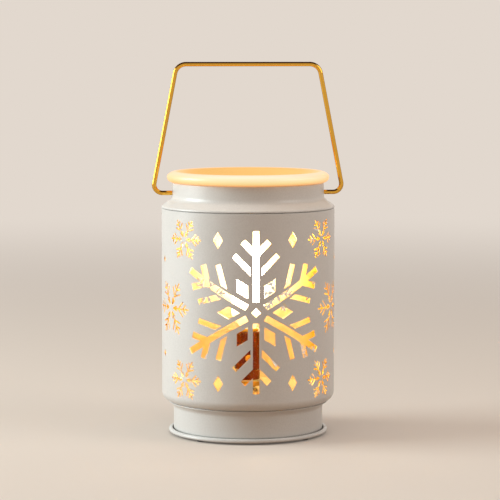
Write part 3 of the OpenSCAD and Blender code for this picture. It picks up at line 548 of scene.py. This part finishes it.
class WARMER_OT_stage(bpy.types.Operator):
    """Make the floor, the soft light and the photograph's camera"""

    bl_idname = "warmer.stage"
    bl_label = "Stage"

    def execute(self, context):
        stage = context.scene.warmer_stage
        colours = context.scene.warmer_colours
        context.scene.view_settings.view_transform = "Standard"
        self.camera(context.scene, stage)
        self.floor(colours)
        self.backdrop(context.scene, stage, colours)
        self.soft_lamps(context.scene, stage)
        return {"FINISHED"}

    def camera(self, scene, stage):
        """The photograph's camera, above the dish and looking slightly down."""
        data = bpy.data.cameras.new("camera")
        data.lens = stage.lens
        data.sensor_width = stage.sensor
        data.shift_x = stage.side_step
        camera = bpy.data.objects.new("camera", data)
        camera.location = (stage.distance * math.sin(stage.turn), -stage.distance * math.cos(stage.turn),
                           stage.height)
        camera.rotation_euler = (math.pi / 2 - stage.pitch, 0, stage.turn)
        scene.collection.objects.link(camera)
        scene.camera = camera

    def floor(self, colours):
        """A plain matt floor that keeps the object's shadow and fades into the backdrop."""
        bm = bmesh.new()
        bmesh.ops.create_circle(bm, cap_ends=True, radius=FLOOR_RADIUS, segments=96)
        floor = finished(bm, "floor")
        material, tree = new_material("plain_floor")
        position = add_node(tree, "ShaderNodeTexCoord").outputs["Object"]
        reach = add_node(tree, "ShaderNodeVectorMath", operation="LENGTH",
                         links={0: position}).outputs["Value"]
        far = add_node(tree, "ShaderNodeMapRange", interpolation_type="SMOOTHSTEP", links={"Value": reach},
                       inputs={"From Min": FADE_START, "From Max": FADE_END, "To Min": FADE_LEAST})
        matt = add_node(tree, "ShaderNodeBsdfDiffuse", inputs={"Color": colours.floor})
        glow = add_node(tree, "ShaderNodeEmission", inputs={"Color": colours.floor})
        shown = add_node(tree, "ShaderNodeMixShader",
                         links={0: far.outputs["Result"], 1: matt.outputs[0], 2: glow.outputs[0]})
        returned = add_node(tree, "ShaderNodeBsdfDiffuse", inputs={"Color": colours.floor_return})
        shader = add_node(tree, "ShaderNodeMixShader",
                          links={0: eye_rays(tree), 1: returned.outputs[0], 2: shown.outputs[0]})
        add_node(tree, "ShaderNodeOutputMaterial", links={"Surface": shader.outputs[0]})
        floor.data.materials.append(material)

    def backdrop(self, scene, stage, colours):
        """Even light from all round, and a pale room with a dark ceiling for the eye."""
        world = bpy.data.worlds.new("studio")
        world.use_nodes = True
        tree = world.node_tree
        tree.nodes.clear()
        even = add_node(tree, "ShaderNodeBackground",
                        inputs={"Color": linear("FFEADA"), "Strength": stage.sky})
        way = add_node(tree, "ShaderNodeTexCoord").outputs["Generated"]
        up = add_node(tree, "ShaderNodeSeparateXYZ", links={0: way}).outputs["Z"]
        # The ceiling comes in between about 17 and 49 degrees up.
        overhead = add_node(tree, "ShaderNodeMapRange", interpolation_type="SMOOTHSTEP",
                            links={"Value": up},
                            inputs={"From Min": 0.3, "From Max": 0.75}).outputs["Result"]
        room = add_node(tree, "ShaderNodeMix", data_type="RGBA", links={0: overhead},
                        inputs={6: colours.floor, 7: colours.ceiling}).outputs[2]
        shown = add_node(tree, "ShaderNodeBackground", links={"Color": room})
        shader = add_node(tree, "ShaderNodeMixShader",
                          links={0: eye_rays(tree), 1: even.outputs[0], 2: shown.outputs[0]})
        add_node(tree, "ShaderNodeOutputWorld", links={"Surface": shader.outputs[0]})
        scene.world = world

    def soft_lamps(self, scene, stage):
        """Three soft lamps; the one overhead doesn't show in polished surfaces."""
        # Each lamp: its name, power, side, place and tint.
        lamps = (("key", stage.key_power, 0.9, (-1.5, 0.07, 0.6), "EEF9FA"),
                 ("fill", stage.fill_power, 0.7, (1.0, -0.5, 0.75), "FFFBF6"),
                 ("top", stage.top_power, 1.2, (0, -0.1, 1.3), "FFF4EA"))
        for name, power, side, location, tint in lamps:
            data = bpy.data.lights.new(name, "AREA")
            data.energy = power
            data.color = linear(tint)[:3]
            data.size = side
            lamp = bpy.data.objects.new(name, data)
            lamp.location = location
            lamp.rotation_euler = (AIM - lamp.location).to_track_quat("-Z", "Y").to_euler()
            lamp.visible_glossy = name != "top"
            scene.collection.objects.link(lamp)


class WARMER_OT_body(bpy.types.Operator):
    """Paint the wall, the collar and the base, and roll the small bead under the wall"""

    bl_idname = "warmer.body"
    bl_label = "Body"

    def execute(self, context):
        sizes = context.scene.warmer_sizes
        dress(pearl_enamel("pearl_enamel_over_gold_lacquer", lacquered=True), "body_wall")
        enamel = pearl_enamel("pearl_enamel_on_tinplate")
        dress(enamel, "collar", "base_shell", "base_plate")
        middle = (UPSTAND_RADIUS, WALL_LOW.z - sizes.flare_bead_drop)
        bead = lathe("flare_bead", arc(middle, sizes.flare_bead / 2, 0, 360, 12)[:-1])
        place(bead, enamel, "root", "pearl_paint")
        dress(bright_tinplate(), "lamp_shelf")
        return {"FINISHED"}


class WARMER_OT_dish(bpy.types.Operator):
    """Give the opal glass dish a painted glow, as of the lamp's light from below"""

    bl_idname = "warmer.dish"
    bl_label = "Dish"

    def execute(self, context):
        dress(opal_glass(), "wax_dish")
        return {"FINISHED"}


class WARMER_OT_bail(bpy.types.Operator):
    """Plate the wire bail"""

    bl_idname = "warmer.bail"
    bl_label = "Bail"

    def execute(self, context):
        dress(polished_gold(), "bail_handle")
        return {"FINISHED"}


class WARMER_OT_bulb(bpy.types.Operator):
    """Light the bulb and roll the thread of its cap"""

    bl_idname = "warmer.bulb"
    bl_label = "Bulb"

    def execute(self, context):
        dress(lit_lamp_glass(), "bulb_glass", "bulb_stem", "filament")
        place(threaded_cap("threaded_cap"), drawn_brass(), "bulb", "brass", "bulb_cap")
        dress(black_glass(), "bulb_insulator")
        dress(tin_solder(), "bulb_tip", "lead_in_wires")
        return {"FINISHED"}


class WARMER_OT_fittings(bpy.types.Operator):
    """Finish the lamp holder, the leads and the small pieces"""

    bl_idname = "warmer.fittings"
    bl_label = "Fittings"

    def execute(self, context):
        dress(drawn_brass(), "holder_nipple", "nipple_nut", "screw_shell", "centre_contact",
              "terminal_screws")
        dress(zinc_plate(), "holder_bridge", "bridge_screws", "bridge_nuts")
        dress(brown_phenolic(), "lamp_holder")
        dress(black_rubber(), "feet", "cord_bush")
        dress(wire_sheath("brown_pvc", "5E3D25", "4C301C"), "live_lead")
        dress(wire_sheath("blue_pvc", "315493", "274479"), "neutral_lead")
        dress(white_nylon(), "lead_bush", "splice_caps")
        return {"FINISHED"}


class WARMER_PT_panel(bpy.types.Panel):
    """Lists the steps in the sidebar"""

    bl_label = "Wax warmer"
    bl_idname = "WARMER_PT_panel"
    bl_space_type = "VIEW_3D"
    bl_region_type = "UI"
    bl_category = "Warmer"

    def draw(self, context):
        for step in STEPS:
            self.layout.operator(step.bl_idname)
        for group in (context.scene.warmer_sizes, context.scene.warmer_colours, context.scene.warmer_stage):
            box = self.layout.box()
            for name in group.__annotations__:
                box.prop(group, name)


STEPS = (WARMER_OT_stage, WARMER_OT_body, WARMER_OT_dish, WARMER_OT_bail, WARMER_OT_bulb,
         WARMER_OT_fittings)
CLASSES = (WarmerSizes, WarmerColours, WarmerStage) + STEPS + (WARMER_PT_panel,)


def register():
    """Registers the classes and hangs their values on the scene."""
    for cls in CLASSES:
        bpy.utils.register_class(cls)
    bpy.types.Scene.warmer_sizes = bpy.props.PointerProperty(type=WarmerSizes)
    bpy.types.Scene.warmer_colours = bpy.props.PointerProperty(type=WarmerColours)
    bpy.types.Scene.warmer_stage = bpy.props.PointerProperty(type=WarmerStage)


def unregister():
    """Takes the values and the classes away again."""
    del bpy.types.Scene.warmer_stage
    del bpy.types.Scene.warmer_colours
    del bpy.types.Scene.warmer_sizes
    for cls in reversed(CLASSES):
        bpy.utils.unregister_class(cls)


def main():
    """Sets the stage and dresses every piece."""
    register()
    bpy.ops.warmer.stage()
    bpy.ops.warmer.body()
    bpy.ops.warmer.dish()
    bpy.ops.warmer.bail()
    bpy.ops.warmer.bulb()
    bpy.ops.warmer.fittings()


if __name__ == "__main__":
    main()
